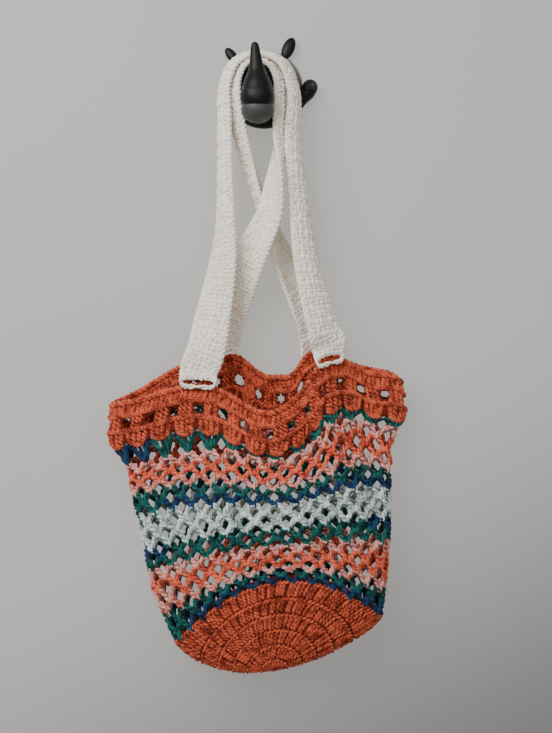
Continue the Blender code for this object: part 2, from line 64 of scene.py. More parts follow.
def table(columns, rows):
    """Rows whose values are read by the names of their columns."""
    row_type = collections.namedtuple("Row", columns)
    return [row_type(*row) for row in rows]


# ---- sizes of the hung cloth, in mm, as in the solids
ROUND_LENGTH = 700.0
BAND_HEIGHT = 45.0
NET_ROWS = 18
NET_ROW_HEIGHT = 9.7
TUBE_RADIUS = ROUND_LENGTH / TURN
BASE_RADIUS = 112.0
STRAP_WIDTH = 42.0
STRAP_OVERLAP = 4.5

LEVELS = table("row left_x left_z right_x right_z side_y front_y back_y front_arch back_arch", (
    (-1, -169, -362, 153, -337, -37, -60, -17, 2, 10),
    (0, -165, -412, 153, -386, -39, -70, -12, 0, 8),
    (1.5, -152, -429, 143, -401, -41, -75, -10, 0, 7),
    (5, -143, -461, 139, -437, -43, -80, -8, 3, 6),
    (10, -129, -523, 138, -488, -45, -86, -7, 13, 10),
    (14, -119, -568, 135, -538, -45, -88, -7, 29, 22),
    (18, -96, -622, 129, -594, -42, -84, -9, 60, 46),
))
SECTION_POWER = 2.5
# Pulls start at the rim and fade downwards. Folds run down, and both drift sideways.
PULLS = table("face x half_width lift out fade drift", (
    ("front", -78, 48, 13, -3, 115, 0),
    ("front", 4, 37, -24, 6, 95, 0.10),
    ("front", 60, 15, 14, 5, 96, 0.24),
    ("front", 85, 27, 26, -4, 96, 0.25),
    ("front", 114, 34, 0, -18, 90, 0),
    ("front", 134, 28, 9, 0, 96, 0.45),
    ("back", -81, 55, 31, 0, 110, 0),
    ("back", -30, 23, 20, 0, 90, 0),
    ("back", 33, 12, -10, 0, 90, 0),
    ("back", 60, 34, 32, 0, 96, 0.10),
    ("back", 118, 53, 12, 0, 96, 0),
))
FOLDS = table("face x half_width out top bottom drift", (
    ("front", 42, 9, -9, -20, 55, 0.30),
    ("front", 62, 10, 4, 0, 80, 0.35),
    ("front", 60, 13, -9, 70, 190, 0.12),
    ("front", -96, 16, -5, 60, 210, 0.10),
    ("front", -30, 22, 4, 40, 150, -0.15),
    ("front", 118, 12, -5, 60, 200, -0.05),
    ("back", -20, 26, -3, 10, 190, 0.10),
    ("back", 60, 20, -3, 60, 210, -0.05),
))
BASE_BOTTOM_Y = -46.0
BASE_BOTTOM_DROP = 46.0
BASE_BOTTOM_POWER = 0.5
BASE_CENTRE_AT = 0.46
FRONT_STRAP = table("x y z turn curl", (
    (-63, -64, -306, 8, 20),
    (-56, -61, -269, 20, 34),
    (-47, -56, -205, 42, 80),
    (-44.5, -48, -137, 72, 130),
    (-44.5, -40, -46, 84, 150),
    (-44, -38, -8, 84, 120),
    (-33, -37, 19, 72, 50),
    (-6, -36, 29.5, 71, 24),
    (22, -37, 19, 72, 50),
    (34, -38, -12, 84, 120),
    (34, -42, -66, 80, 150),
    (42, -47, -137, 62, 130),
    (50, -56, -204, 46, 90),
    (61, -62, -258, 36, 50),
    (68, -63, -285, 31, 30),
))
BACK_STRAP = table("x y z turn curl", (
    (-44, -17, -274, 6, 20),
    (-32, -30, -240, 10, 30),
    (-13, -48, -197, 24, 50),
    (9, -58, -154, 46, 80),
    (15.5, -54, -112, 66, 110),
    (19, -41, -66, 94, 140),
    (22.8, -37, -28, 108, 100),
    (22.2, -36.5, -1, 113, 60),
    (12.6, -36, 18.2, 117, 30),
    (-6, -35, 25.2, 118, 16),
    (-24.6, -36, 18.2, 115, 30),
    (-34.8, -36.5, -1, 112, 60),
    (-35.8, -37, -26, 107, 100),
    (-27, -34, -62, 94, 140),
    (-15, -24, -104, 84, 130),
    (1, -20, -150, 74, 110),
    (23, -18, -205, 48, 90),
    (46, -14, -250, 30, 50),
    (58, -12, -275, 14, 30),
))
STRAP_ENDS = table("strap face x gather", (
    ("strap_front", "front", -70, 0.94),
    ("strap_front", "front", 70, 0.78),
    ("strap_back", "back", -50, 1),
    ("strap_back", "back", 62, 1),
))
STRAP_OFF_RIM = 6.5  # a sewn strap's middle, from the rim's
STRAP_SETTLE = 24.0  # how far from the rim a strap hangs free

# ---- sizes of the stitches, in mm
V_STITCHES = 28  # around the net
V_PITCH = ROUND_LENGTH / V_STITCHES
NET_YARN = 1.6  # the yarn's radius
NET_STRIP, NET_STRIP_HALF = 5.0, 0.8  # the width and half the thickness of the strips inside the net's legs
FIRST_STRIP, FIRST_STRIP_UP = 3.6, 3.0  # the width of the first round's strips, and their reach up
NET_SHARE = 0.54  # the share of the net's flat rectangle that isn't gaps
FOOT_REACH, TIP_REACH, TIP_SPREAD = 1.6, 1.2, 3.0  # how far a V passes the knots at its foot and its tips
FOOT_OUT, TIP_OUT = 1.0, -0.2  # how far its foot and its tips stand out of the cloth
KNOTS_OFF = 0.9, 0.6, 0.5  # how far the knots stand off their grid, in u, v and w
TOP_KNOTS_UP, TOP_KNOTS_IN = 4.5, 1.2  # where the first line of knots is hidden behind the band
LOOP = 4.4, 1.3, 2.2  # half the width, height and depth of the loop at a knot
SIDE_SHARE = 0.07  # how far a side's own colour reaches from it, as a share of the round
DROOP_X, DROOP_WIDTH, DROOP = 4.0, 45.0, 6.5  # where and how far the net is drawn up under the band, in front
BAND_SAG = 0.3  # the band's own sag there, as a share of that
# How much lower the net's first round reaches at its tallest, how much higher at its shortest, and where.
TALL_ROUND, SHORT_ROUND, TALL_AT = 6.5, 3.0, 0.05
BASE_ROUNDS = 6
BASE_STITCHES = 20  # more in each round than in the one inside it
BASE_YARN = 1.5
BAND_YARN = 1.45
CHAIN_YARN, ROPE_YARN = 1.3, 2.1  # in the chains between rounds, and in the rope edge of the rim
STRAP_ROW = 7.0  # from one row to the next
STRAP_STITCHES = 6  # across the strap
STRAP_YARN, EDGE_YARN, SEWING_YARN = 2.1, 1.9, 1.35  # in a strap's rows, along its edges and at its ends
STRAP_END = 9.8  # from a strap's end to its first row
PLY_TURNS = (0, math.pi)  # a yarn's two plies lie across from each other
YARN_BEVEL = 1  # gives a yarn six sides
YARN_TIP = 0.8  # how thick an open yarn's ends are beside its middle

# The darker and the lighter tones of each yarn, mixed at random along it, and the hook's paints, as seen in
# daylight, 0 to 255.
PLIES = {
    "coral": ((128, 42, 25), (220, 100, 68)),
    # Painted shade: the dark cloth under the band's and the base's stitches, for the shade deep between them.
    "shade": ((88, 27, 16), (116, 37, 23)),  # deep between the band's stitches
    "base_shade": ((100, 31, 19), (126, 42, 26)),  # and between the base's
    "orange": ((176, 58, 40), (244, 118, 88)),
    "pink": ((190, 84, 66), (240, 176, 164)),
    "teal": ((4, 38, 42), (26, 106, 98)),
    "blue": ((5, 22, 46), (30, 70, 110)),
    "white": ((132, 150, 148), (224, 238, 231)),
    "cream": ((246, 235, 218), (255, 250, 241)),
}
# The chin's grey is a painted reflection of the floor on the black head's underside.
PAINTS = {"black": (13, 15, 15), "reflected_grey": (68, 72, 70), "boss": (120, 122, 120)}
# Painted light and shade on the boss: grey where its upper rim catches light, black on its shaded underside.
BOSS_PAINTED_LIGHT_WAY = (12, 0, 20)  # the way the boss's paint gets lighter, up to the right, each metre
YARNS = ("teal", "blue", "pink", "orange", "white")  # the net's
# Painted shade: the net's heart is a darker copy of its yarns, for the shade deep between the stitches.
HEART_PAINTED_SHADE = 0.6  # how light the net's heart is beside its yarns
# Each round's yarn, from the band down, or its yarns in the middle, at the left and at the right.
NET_COLOURS = (
    "teal blue teal", "pink", "orange", "orange", "pink", "teal", "blue teal blue", "white", "white", "white",
    "teal blue blue", "teal", "pink", "orange", "orange pink orange", "pink", "teal", "blue teal blue",
)


# ---- where the wall hangs
def smooth(value):
    value = np.clip(value, 0.0, 1.0)
    return value * value * (3 - 2 * value)


def bell(value):
    return np.exp(-value * value)


def through(places, values, at):
    """A smooth curve through (places, values), read at many places."""
    slopes = np.gradient(values, places)
    k = np.clip(np.searchsorted(places, at) - 1, 0, len(places) - 2)
    span = places[k + 1] - places[k]
    t = (at - places[k]) / span
    a, b = 2 * t**3 - 3 * t**2 + 1, t**3 - 2 * t**2 + t
    c, d = -2 * t**3 + 3 * t**2, t**3 - t**2
    inside = a * values[k] + b * span * slopes[k] + c * values[k + 1] + d * span * slopes[k + 1]
    before, after = (values[end] + slopes[end] * (at - places[end]) for end in (0, -1))
    return np.where(t < 0, before, np.where(t > 1, after, inside))


def depth_of(row):
    return np.where(row < 0, (row + 1) * BAND_HEIGHT, BAND_HEIGHT + row * NET_ROW_HEIGHT)


def row_of(depth):
    return np.where(depth < BAND_HEIGHT, depth / BAND_HEIGHT - 1, (depth - BAND_HEIGHT) / NET_ROW_HEIGHT)


def levels_at(row):
    rows, *columns = np.array(LEVELS, float).T
    names = LEVELS[0]._fields[1:]
    return {name: through(depth_of(rows), values, depth_of(row)) for name, values in zip(names, columns)}


def face_offsets(face, x, down):
    lift, out = np.zeros_like(x), np.zeros_like(x)
    for pull in PULLS:
        if pull.face == face:
            share = bell((x - pull.x - pull.drift * down) / pull.half_width) * bell(down / pull.fade)
            lift += pull.lift * share
            out += pull.out * share
    for fold in FOLDS:
        if fold.face == face:
            past_middle, reach = down - (fold.top + fold.bottom) / 2, (fold.bottom - fold.top) / 2
            share = bell((x - fold.x - fold.drift * past_middle) / fold.half_width)
            out += fold.out * share * bell(past_middle / reach)
    return lift, out


def half_section(row, face):
    """The points of one face at many rows, from its left side to its right: rows by points by 3."""
    row = row[:, None]
    at = levels_at(row)
    turn = np.linspace(0, math.pi, 97)[None, :]
    middle_x = (at["left_x"] + at["right_x"]) / 2
    half_x = (at["right_x"] - at["left_x"]) / 2
    across = -np.sign(np.cos(turn)) * np.abs(np.cos(turn)) ** (2 / SECTION_POWER)
    deep = np.abs(np.sin(turn)) ** (2 / SECTION_POWER)
    x = middle_x + half_x * across
    side_z = at["left_z"] + (at["right_z"] - at["left_z"]) * (across + 1) / 2
    lift, out = face_offsets(face, x, depth_of(row))
    share = smooth(deep / 0.55)
    away = -1 if face == "front" else 1
    y = at["side_y"] + (at[face + "_y"] - at["side_y"]) * deep + away * out * share
    return np.stack([x, y, side_z + at[face + "_arch"] * (1 - across**2) + lift * share], -1)


HALF_STEPS = 240
WALL_ROWS = np.concatenate([np.arange(-1.2, 0, 0.05), np.arange(0, NET_ROWS + 0.5, 0.15)])


def distances(points):
    """How far along a line each of its points is."""
    return np.concatenate([[0], np.cumsum(np.linalg.norm(np.diff(points, axis=0), axis=1))])


def evenly(points, steps):
    length = distances(points)
    at = np.linspace(0, length[-1], steps + 1)
    return np.stack([np.interp(at, length, points[:, k]) for k in range(3)], -1)


def wall_grid():
    """Points and outward directions of the wall at WALL_ROWS, all the way round: front, then back."""
    front, back = half_section(WALL_ROWS, "front"), half_section(WALL_ROWS, "back")[:, ::-1]
    points = np.array([
        np.concatenate([evenly(half, HALF_STEPS)[:-1] for half in halves]) for halves in zip(front, back)])
    along = np.roll(points, -2, 1) - np.roll(points, 2, 1)
    down = np.gradient(points, axis=0)
    normals = np.cross(down, along)
    return points, normals / np.linalg.norm(normals, axis=-1, keepdims=True)


def read_grid(grid, i, j, wrap):
    """A grid of points read between its own, at i down and j across. wrap is set if it closes across."""
    i = np.clip(i, 0, grid.shape[0] - 1.001)
    i0, j0 = np.floor(i).astype(int), np.floor(j).astype(int)
    a, b = (i - i0)[..., None], (j - j0)[..., None]
    if wrap:
        j0, j1 = j0 % grid.shape[1], (j0 + 1) % grid.shape[1]
    else:
        j0 = np.clip(j0, 0, grid.shape[1] - 2)
        j1 = j0 + 1
        b = np.clip(j[..., None] - j0[..., None], 0, 1)
    top = grid[i0, j0] * (1 - b) + grid[i0, j1] * b
    return top * (1 - a) + (grid[i0 + 1, j0] * (1 - b) + grid[i0 + 1, j1] * b) * a


def off_grid(grids, i, j, out, wrap=True):
    """Points out mm off a grid of points, along its grid of outward directions."""
    points, outward = (read_grid(grid, i, j, wrap) for grid in grids)
    return points + outward * out[..., None]


WALL_GRIDS = wall_grid()


def wall(around, row, out=0.0):
    """Where points hang. around is 0 at the left side, 0.25 mid-front and 0.5 at the right side."""
    around, row, out = (np.asarray(a, float) for a in np.broadcast_arrays(around, row, out))
    i = np.interp(row, WALL_ROWS, np.arange(len(WALL_ROWS)))
    return off_grid(WALL_GRIDS, i, around * 2 * HALF_STEPS, out)


def on_wall(flat):
    """Hangs flat points (u, v, w): along the round, down from the rim and out."""
    return wall(flat[..., 0] / ROUND_LENGTH, row_of(flat[..., 1]), flat[..., 2])


# ---- where the base hangs
DISC_TURNS, DISC_RINGS, FOLD_STEPS = 240, 48, 64


def disc_grid():
    """Points and outward directions of the folded base on rings from its centre to its edge."""
    radius = np.linspace(0, 1, DISC_RINGS + 1)[:, None]
    turn = np.linspace(0, TURN, DISC_TURNS, endpoint=False)[None, :]
    x, y = np.clip(-radius * np.cos(turn), -0.9995, 0.9995), -radius * np.sin(turn)
    around = np.arccos(-x) / TURN
    front, back = wall(around, NET_ROWS), wall(1 - around, NET_ROWS)
    at = {name: float(value[0]) for name, value in levels_at(np.array([float(NET_ROWS)])).items()}
    side_z = at["left_z"] + (at["right_z"] - at["left_z"]) * (x + 1) / 2
    open_share = (1 - x * x) ** BASE_BOTTOM_POWER
    middle = (front + back) / 2
    bottom_y = middle[..., 1] + (BASE_BOTTOM_Y - middle[..., 1]) * open_share
    bottom = np.stack([middle[..., 0], bottom_y, side_z - BASE_BOTTOM_DROP * open_share], -1)
    t = np.linspace(0, 1, FOLD_STEPS + 1)[:, None, None, None]
    fold = front * (1 - t) ** 2 + (2 * bottom - middle) * (2 * t * (1 - t)) + back * t**2
    steps = np.linalg.norm(np.diff(fold, axis=0), axis=-1)
    length = np.concatenate([np.zeros((1, *x.shape)), np.cumsum(steps, 0)])
    centre_at = BASE_CENTRE_AT * FOLD_STEPS
    k = int(centre_at)
    centre = length[k] + (length[k + 1] - length[k]) * (centre_at - k)
    at = np.clip(y / np.sqrt(1 - x * x), -1, 1)
    wanted = np.where(at < 0, centre * (1 + at), centre + at * (length[-1] - centre))
    k = np.clip((length < wanted).sum(0) - 1, 0, FOLD_STEPS - 1)
    rows, cols = np.indices(x.shape)
    low, high = length[k, rows, cols], length[k + 1, rows, cols]
    share = ((wanted - low) / np.maximum(high - low, 1e-9))[..., None]
    points = fold[k, rows, cols] * (1 - share) + fold[k + 1, rows, cols] * share
    outwards = np.gradient(points, axis=0)
    along = np.roll(points, -1, 1) - np.roll(points, 1, 1)
    normals = np.cross(along, outwards)
    normals[0] = normals[1].mean(0)
    normals /= np.linalg.norm(normals, axis=-1, keepdims=True)
    return points, normals


DISC_GRIDS = disc_grid()


def on_disc(flat):
    """Hangs flat points (x, y, w) of the base, with its centre at 0 and its front at -y."""
    radius = np.hypot(flat[..., 0], flat[..., 1]) / BASE_RADIUS
    turn = np.arctan2(-flat[..., 1], -flat[..., 0]) / TURN % 1.0
    return off_grid(DISC_GRIDS, radius * DISC_RINGS, turn * DISC_TURNS, flat[..., 2])


# ---- where the straps hang
STRAP_CELLS, STRAP_STEP = 8, 4  # cells of a strap's grid across it, and how long one is


def wall_vector(around, row, out=0.0):
    return Vector(wall(around, row, out))


def around_at(face, x):
    low, high = (0.0, 0.5) if face == "front" else (1.0, 0.5)
    for _ in range(30):
        middle = (low + high) / 2
        low, high = (middle, high) if wall_vector(middle, -1).x < x else (low, middle)
    return low


def sewn_point(middle, sideways, along, out):
    """A point off the rim: sideways mm from a strap's middle, along mm up and out mm out."""
    stretch = (wall_vector(middle + 0.02, -1) - wall_vector(middle - 0.02, -1)).length / 0.04
    up = (wall_vector(middle, -1) - wall_vector(middle, -0.8)).normalized()
    on_rim = wall_vector(middle + sideways / stretch, -1 - min(along, 0) / BAND_HEIGHT, out)
    return on_rim + up * max(along, 0)


def strap_section(centre, direction, turn, curl, bulge, across, out):
    """A point of the free strap. across runs from -1 to 1, towards the edge that is in front at the hook."""
    to_viewer = Vector((0, -1, 0))
    to_viewer = (to_viewer - direction * to_viewer.dot(direction)).normalized()
    sideways = direction.cross(to_viewer)
    turn = math.radians(turn)
    width = sideways * math.cos(turn) + to_viewer * math.sin(turn)
    face = width.cross(direction)
    bend = math.radians(max(curl, 2))
    radius, angle = STRAP_WIDTH / bend, across * bend / 2
    mean = radius * (1 - math.sin(bend / 2) / (bend / 2))
    reach = radius + out * bulge
    rise = reach * math.cos(angle) - radius + mean
    return centre + width * (reach * math.sin(angle)) + face * bulge * rise


def strap_grid(name, rows, bulge):
    """(length, middle surface and outward step of one mm) of a strap, sampled along and across it."""
    own_ends = [end for end in STRAP_ENDS if end.strap == name]
    arounds = [around_at(end.face, end.x) for end in own_ends]
    first, last = (  # not turned, and hardly curled
        [(*sewn_point(around, 0, along, STRAP_OFF_RIM), 0, 4) for along in (-STRAP_OVERLAP, 2, 10)]
        for around in arounds)
    rows = np.array([*first, *rows, *last[::-1]], float)
    places = distances(rows[:, :3])
    fine = np.linspace(0, places[-1], 600)
    route = np.stack([through(places, rows[:, k], fine) for k in range(5)], -1)
    run = distances(route[:, :3])
    length = run[-1]
    count = int(length / STRAP_STEP)
    grids = np.zeros((2, count + 1, STRAP_CELLS + 1, 3))
    for i, s in enumerate(np.linspace(0, length, count + 1)):
        x, y, z, turn, curl = (float(np.interp(s, run, route[:, k])) for k in range(5))
        before, after = ([float(np.interp(q, run, route[:, k])) for k in range(3)] for q in (s - 2, s + 2))
        direction = (Vector(after) - Vector(before)).normalized()
        for j, across in enumerate(np.linspace(-1, 1, STRAP_CELLS + 1)):
            for k, out in enumerate((0.0, 1.0)):
                free = strap_section(Vector((x, y, z)), direction, turn, curl, bulge, across, out)
                for from_end, side, around, end in zip((s, length - s), (1, -1), arounds, own_ends):
                    along = from_end - STRAP_OVERLAP
                    share = 1 - float(smooth((along - 2) / STRAP_SETTLE))
                    if share > 0:
                        facing = 1 if end.face == "front" else -1
                        sideways = facing * side * across * STRAP_WIDTH / 2 * end.gather
                        sewn = sewn_point(around, sideways, along, STRAP_OFF_RIM + facing * out)
                        free = free.lerp(sewn, share)
                grids[k, i, j] = free
    return length, grids[0], grids[1] - grids[0]


def on_strap(flat, strap):
    """Hangs flat points (u across the strap from its middle, v along it, w out of it)."""
    length, *grids = strap
    i = flat[..., 1] / length * (grids[0].shape[0] - 1)
    j = (flat[..., 0] / (STRAP_WIDTH / 2) + 1) / 2 * STRAP_CELLS
    return off_grid(grids, i, j, flat[..., 2], wrap=False)


# ---- yarn
def twisted(starts, ends, spread, lift, turns, steps, phase):
    """Pairs of yarns twisted round each other from starts to ends: pairs by 2 by steps by 3.

    spread is how far they swing in the cloth, and lift how far out of it.
    """
    starts, ends = np.atleast_2d(starts).astype(float), np.atleast_2d(ends).astype(float)
    run = ends - starts
    flat = run.copy()
    flat[:, 2] = 0
    flat /= np.linalg.norm(flat, axis=1, keepdims=True)
    beside = np.stack([-flat[:, 1], flat[:, 0], np.zeros(len(flat))], -1)
    t = np.linspace(0, 1, steps)
    turn = TURN * turns * t + phase[:, None, None] + np.array(PLY_TURNS)[:, None]
    starts, run, beside = (a[:, None, None] for a in (starts, run, beside))
    points = starts + run * t[:, None] + beside * (np.cos(turn) * spread)[..., None]
    points[..., 2] += np.sin(turn) * lift
    return points


def in_scene(name, data):
    obj = bpy.data.objects.new(name, data)
    bpy.context.scene.collection.objects.link(obj)
    return obj


def yarn_curve(name, groups, materials):
    """A curve object of yarns. groups are (points by steps by 3 in mm, radius in mm, slots, closed)."""
    curve = bpy.data.curves.new(name, "CURVE")
    curve.dimensions = "3D"
    curve.bevel_depth = MM
    curve.bevel_resolution = YARN_BEVEL
    curve.use_fill_caps = True
    for material in materials:
        curve.materials.append(material)
    for points, radius, slots, closed in groups:
        points = np.asarray(points).reshape(-1, points.shape[-2], 3)
        slots = np.broadcast_to(slots, len(points))
        steps = points.shape[1]
        widths = np.full(steps, radius, np.float32)
        if not closed:
            widths[[0, -1]] *= YARN_TIP
        for line, slot in zip(points, slots):
            spline = curve.splines.new("POLY")
            spline.points.add(steps - 1)
            spline.points.foreach_set("co", np.c_[line * MM, np.ones(steps)].astype(np.float32).ravel())
            spline.points.foreach_set("radius", widths)
            spline.material_index = int(slot)
            spline.use_cyclic_u = closed
    return in_scene(name, curve)


def to_mesh(obj, name):
    """Turns an object with a curve or live modifiers into a plain mesh object of that name."""
    bpy.context.view_layer.update()
    mesh = bpy.data.meshes.new_from_object(obj.evaluated_get(bpy.context.evaluated_depsgraph_get()))
    bpy.data.objects.remove(obj)
    mesh.name = name
    mesh.shade_smooth()
    return in_scene(name, mesh)


def yarn_piece(name, groups, materials):
    return to_mesh(yarn_curve(name + "_lines", groups, materials), name)


def from_bmesh(bm, name, materials):
    bmesh.ops.transform(bm, matrix=Matrix.Scale(MM, 4), verts=bm.verts)
    mesh = bpy.data.meshes.new(name)
    bm.to_mesh(mesh)
    bm.free()
    mesh.shade_smooth()
    for material in materials:
        mesh.materials.append(material)
    return in_scene(name, mesh)


# ---- materials
def linear(colour):
    """A colour as seen, 0 to 255, as the linear values that shader nodes take."""
    parts = [c / 255 for c in colour]
    return [c / 12.92 if c <= 0.04045 else ((c + 0.055) / 1.055) ** 2.4 for c in parts] + [1.0]


def feed(tree, node, inputs):
    """Sets a node's inputs, each to a value or to the output of another node."""
    for name, value in inputs.items():
        if isinstance(value, bpy.types.NodeSocket):
            tree.links.new(value, node.inputs[name])
        else:
            node.inputs[name].default_value = value


def add_node(tree, kind, inputs=None, **settings):
    node = tree.nodes.new("ShaderNode" + kind)
    for name, value in settings.items():
        setattr(node, name, value)
    feed(tree, node, inputs or {})
    return node


def add_ramp(tree, value, colours, places=(0.0, 1.0), interpolation="LINEAR"):
    """The colour that goes from one colour to another as a value goes from place to place."""
    node = add_node(tree, "ValToRGB", {"Fac": value})
    node.color_ramp.interpolation = interpolation
    for element, place, colour in zip(node.color_ramp.elements, places, colours):
        element.position = place
        element.color = linear(colour)
    return node.outputs["Color"]


def new_material(name):
    """A material, its node tree and its shader."""
    material = bpy.data.materials.new(name)
    material.use_nodes = True
    return material, material.node_tree, material.node_tree.nodes["Principled BSDF"]


def fibre_group():
    """Shared masks of yarn: tone varies along the yarn, and relief is the fuzz of its fibres."""
    group = bpy.data.node_groups.new("fibre", "ShaderNodeTree")
    for name in ("Tone", "Relief"):
        group.interface.new_socket(name, in_out="OUTPUT", socket_type="NodeSocketFloat")
    place = add_node(group, "TexCoord").outputs["Object"]
    slow = add_node(group, "TexNoise", {"Vector": place, "Scale": 130.0, "Detail": 2.0}).outputs["Fac"]
    fine = add_node(group, "TexNoise", {"Vector": place, "Scale": 700.0, "Detail": 3.0}).outputs["Fac"]
    mix = add_node(group, "Math", {0: fine, 1: 0.8, 2: slow}, operation="MULTIPLY_ADD")
    feed(group, group.nodes.new("NodeGroupOutput"), {"Tone": mix.outputs[0], "Relief": fine})
    return group


def yarn_material(name, fibre, light=1.0):
    """A yarn's material. Less light than 1 darkens it as painted shade, for the heart of the cloth deep
    between its stitches.
    """
    material, tree, shader = new_material("yarn_" + name)
    group = add_node(tree, "Group", node_tree=fibre)
    # Less light than 1 darkens both tones: painted shade.
    colours = [[c * light for c in colour] for colour in PLIES[name]]
    relief = {"Strength": 0.6, "Distance": 0.0007, "Height": group.outputs["Relief"]}
    feed(tree, shader, {
        "Base Color": add_ramp(tree, group.outputs["Tone"], colours, (0.72, 1.0)),
        "Normal": add_node(tree, "Bump", relief).outputs["Normal"],
        "Roughness": 0.92,
        "Specular IOR Level": 0.15,
        "Sheen Weight": 0.08,
        "Sheen Roughness": 0.5,
    })
    return material


def gloss_material(name):
    """Satin paint on cast resin, a little worn and dusty. The boss's goes from black to grey towards its top
    right: painted light on its upper rim and painted shade below.
    """
    material, tree, shader = new_material(name + "_gloss")
    place = add_node(tree, "TexCoord").outputs["Object"]
    dust = add_node(tree, "TexNoise", {"Vector": place, "Scale": 60.0, "Detail": 5.0}).outputs["Fac"]
    roughness = add_node(tree, "MapRange", {"Value": dust, "To Min": 0.3, "To Max": 0.5}).outputs["Result"]
    feed(tree, shader, {
        "Base Color": linear(PAINTS[name]), "Roughness": roughness, "Specular IOR Level": 0.25})
    if name == "boss":
        # Painted light and shade: black at the bottom, the boss's grey towards the top right.
        towards = add_node(tree, "VectorMath", {0: place, 1: BOSS_PAINTED_LIGHT_WAY}, operation="DOT_PRODUCT")
        painted_light_and_shade = add_ramp(tree, towards.outputs["Value"], (PAINTS["black"], PAINTS["boss"]))
        feed(tree, shader, {"Base Color": painted_light_and_shade})
    return material


# ---- the net
def droop_at(u):
    middle = around_at("front", DROOP_X) * ROUND_LENGTH
    return DROOP * bell((u - middle) / DROOP_WIDTH)


def drawn(flat):
    """Flat points of the net, drawn up under the band's sag and down by its tall first round."""
    down = flat[..., 1] - BAND_HEIGHT
    sag = droop_at(flat[..., 0])
    share = (0.5 + 0.5 * np.cos(TURN * (flat[..., 0] / ROUND_LENGTH - TALL_AT))) ** 1.5
    lower = (TALL_ROUND * share - SHORT_ROUND * (1 - share)) * (1 - 0.9 * sag / DROOP)
    # The first round's height is taken from the rounds just below it, and the sag's from most of them.
    lower = lower * bell((down - NET_ROW_HEIGHT) / 17) - sag * bell(down / 75)
    moved = flat.copy()
    moved[..., 1] += smooth(down / 8) * lower
    moved[..., 2] -= 0.5 * sag * np.clip(1 - down / 20, 0, 1)
    return moved


def net_knots():
    """Flat places of the net's knots, each a little off its grid: by row boundary and by stitch."""
    line = np.arange(NET_ROWS + 1)[:, None]
    stitch = np.arange(V_STITCHES)[None, :]
    off = [jitter(spread, (NET_ROWS + 1, V_STITCHES)) for spread in KNOTS_OFF]
    u = (stitch + (line % 2) / 2) * V_PITCH + off[0]
    v = BAND_HEIGHT + line * NET_ROW_HEIGHT + off[1]
    w = off[2]
    w[0] -= TOP_KNOTS_IN
    knots = drawn(np.stack([u, v, w], -1))
    knots[0, :, 1] = BAND_HEIGHT - TOP_KNOTS_UP
    knots[-1, :, 1] = BAND_HEIGHT + NET_ROWS * NET_ROW_HEIGHT + 1.0
    return knots


def colour_slot(row, u):
    """The index in YARNS of a round's yarn at a place along it."""
    middle, left, right = (NET_COLOURS[row].split() * 3)[:3]
    around = u / ROUND_LENGTH % 1.0
    if min(around, 1 - around) < SIDE_SHARE:
        return YARNS.index(left)
    return YARNS.index(right if abs(around - 0.5) < SIDE_SHARE else middle)


def straight_tube(heights, steps):
    """An open tube, as long around as the bag, with a ring of points at each height below its top."""
    bm = bmesh.new()
    verts = [bm.verts.new((TUBE_RADIUS, 0, -h)) for h in heights]
    edges = [bm.edges.new(pair) for pair in zip(verts, verts[1:])]
    bmesh.ops.spin(
        bm, geom=verts + edges, cent=(0, 0, 0), axis=(0, 0, 1), angle=TURN, steps=steps, use_merge=True)
    bmesh.ops.remove_doubles(bm, verts=bm.verts, dist=0.001)
    bmesh.ops.recalc_face_normals(bm, faces=bm.faces)
    return bm


def around_tube(co):
    return math.atan2(co[1], co[0]) / TURN % 1.0


def unrolled(co):
    """The flat place of a point of an open upright tube."""
    return around_tube(co) * ROUND_LENGTH, -co.z


def hang_cloth(bm, name, flatten, hang, half, materials):
    """Gives an open sheet two faces, half from its middle surface, and hangs them."""
    bmesh.ops.recalc_face_normals(bm, faces=bm.faces)
    inner = bm.verts[:]
    made = bmesh.ops.extrude_face_region(bm, geom=bm.faces[:], use_keep_orig=True)["geom"]
    outer = [g for g in made if isinstance(g, bmesh.types.BMVert)]
    for verts, away in ((inner, -half), (outer, half)):
        flat = np.array([(*flatten(v.co), away) for v in verts])
        for v, place in zip(verts, hang(flat)):
            v.co = place
    bmesh.ops.recalc_face_normals(bm, faces=bm.faces)
    return from_bmesh(bm, name, materials)


def net_core(materials):
    """The heart of the net's legs: a lattice of flat strips, one slot for each yarn."""
    steps = 2 * V_STITCHES
    bm = straight_tube([-FIRST_STRIP_UP] + [NET_ROW_HEIGHT * k for k in range(1, NET_ROWS + 1)], steps)

    def on_lattice(v):
        return (round(around_tube(v.co) * steps) + round(-v.co.z / NET_ROW_HEIGHT)) % 2 == 0

    for face in bm.faces[:]:
        bmesh.utils.face_split(face, *[v for v in face.verts if on_lattice(v)])
    spare = [v for v in bm.verts if not on_lattice(v) and not v.is_boundary]
    bmesh.ops.dissolve_verts(bm, verts=spare)
    gaps = bm.faces[:]
    first = [face for face in gaps if face.calc_center_median().z > -1.5 * NET_ROW_HEIGHT]
    lower = [face for face in gaps if face not in first]
    for faces, strip in ((first, FIRST_STRIP), (lower, NET_STRIP)):
        bmesh.ops.inset_individual(bm, faces=faces, thickness=strip / 2, use_even_offset=True)
    border = [e for e in bm.edges if e.is_boundary]
    along_border = [face for edge in border for face in edge.link_faces]
    bmesh.ops.delete(bm, geom=gaps + along_border, context="FACES_ONLY")
    for face in bm.faces:
        at = face.calc_center_median()
        row = min(int(-at.z / NET_ROW_HEIGHT), NET_ROWS - 1)
        face.material_index = colour_slot(row, around_tube(at) * ROUND_LENGTH)
    return hang_cloth(
        bm, "net_cloth", unrolled, lambda flat: on_wall(drawn(flat + (0, BAND_HEIGHT, 0))), NET_STRIP_HALF,
        materials)


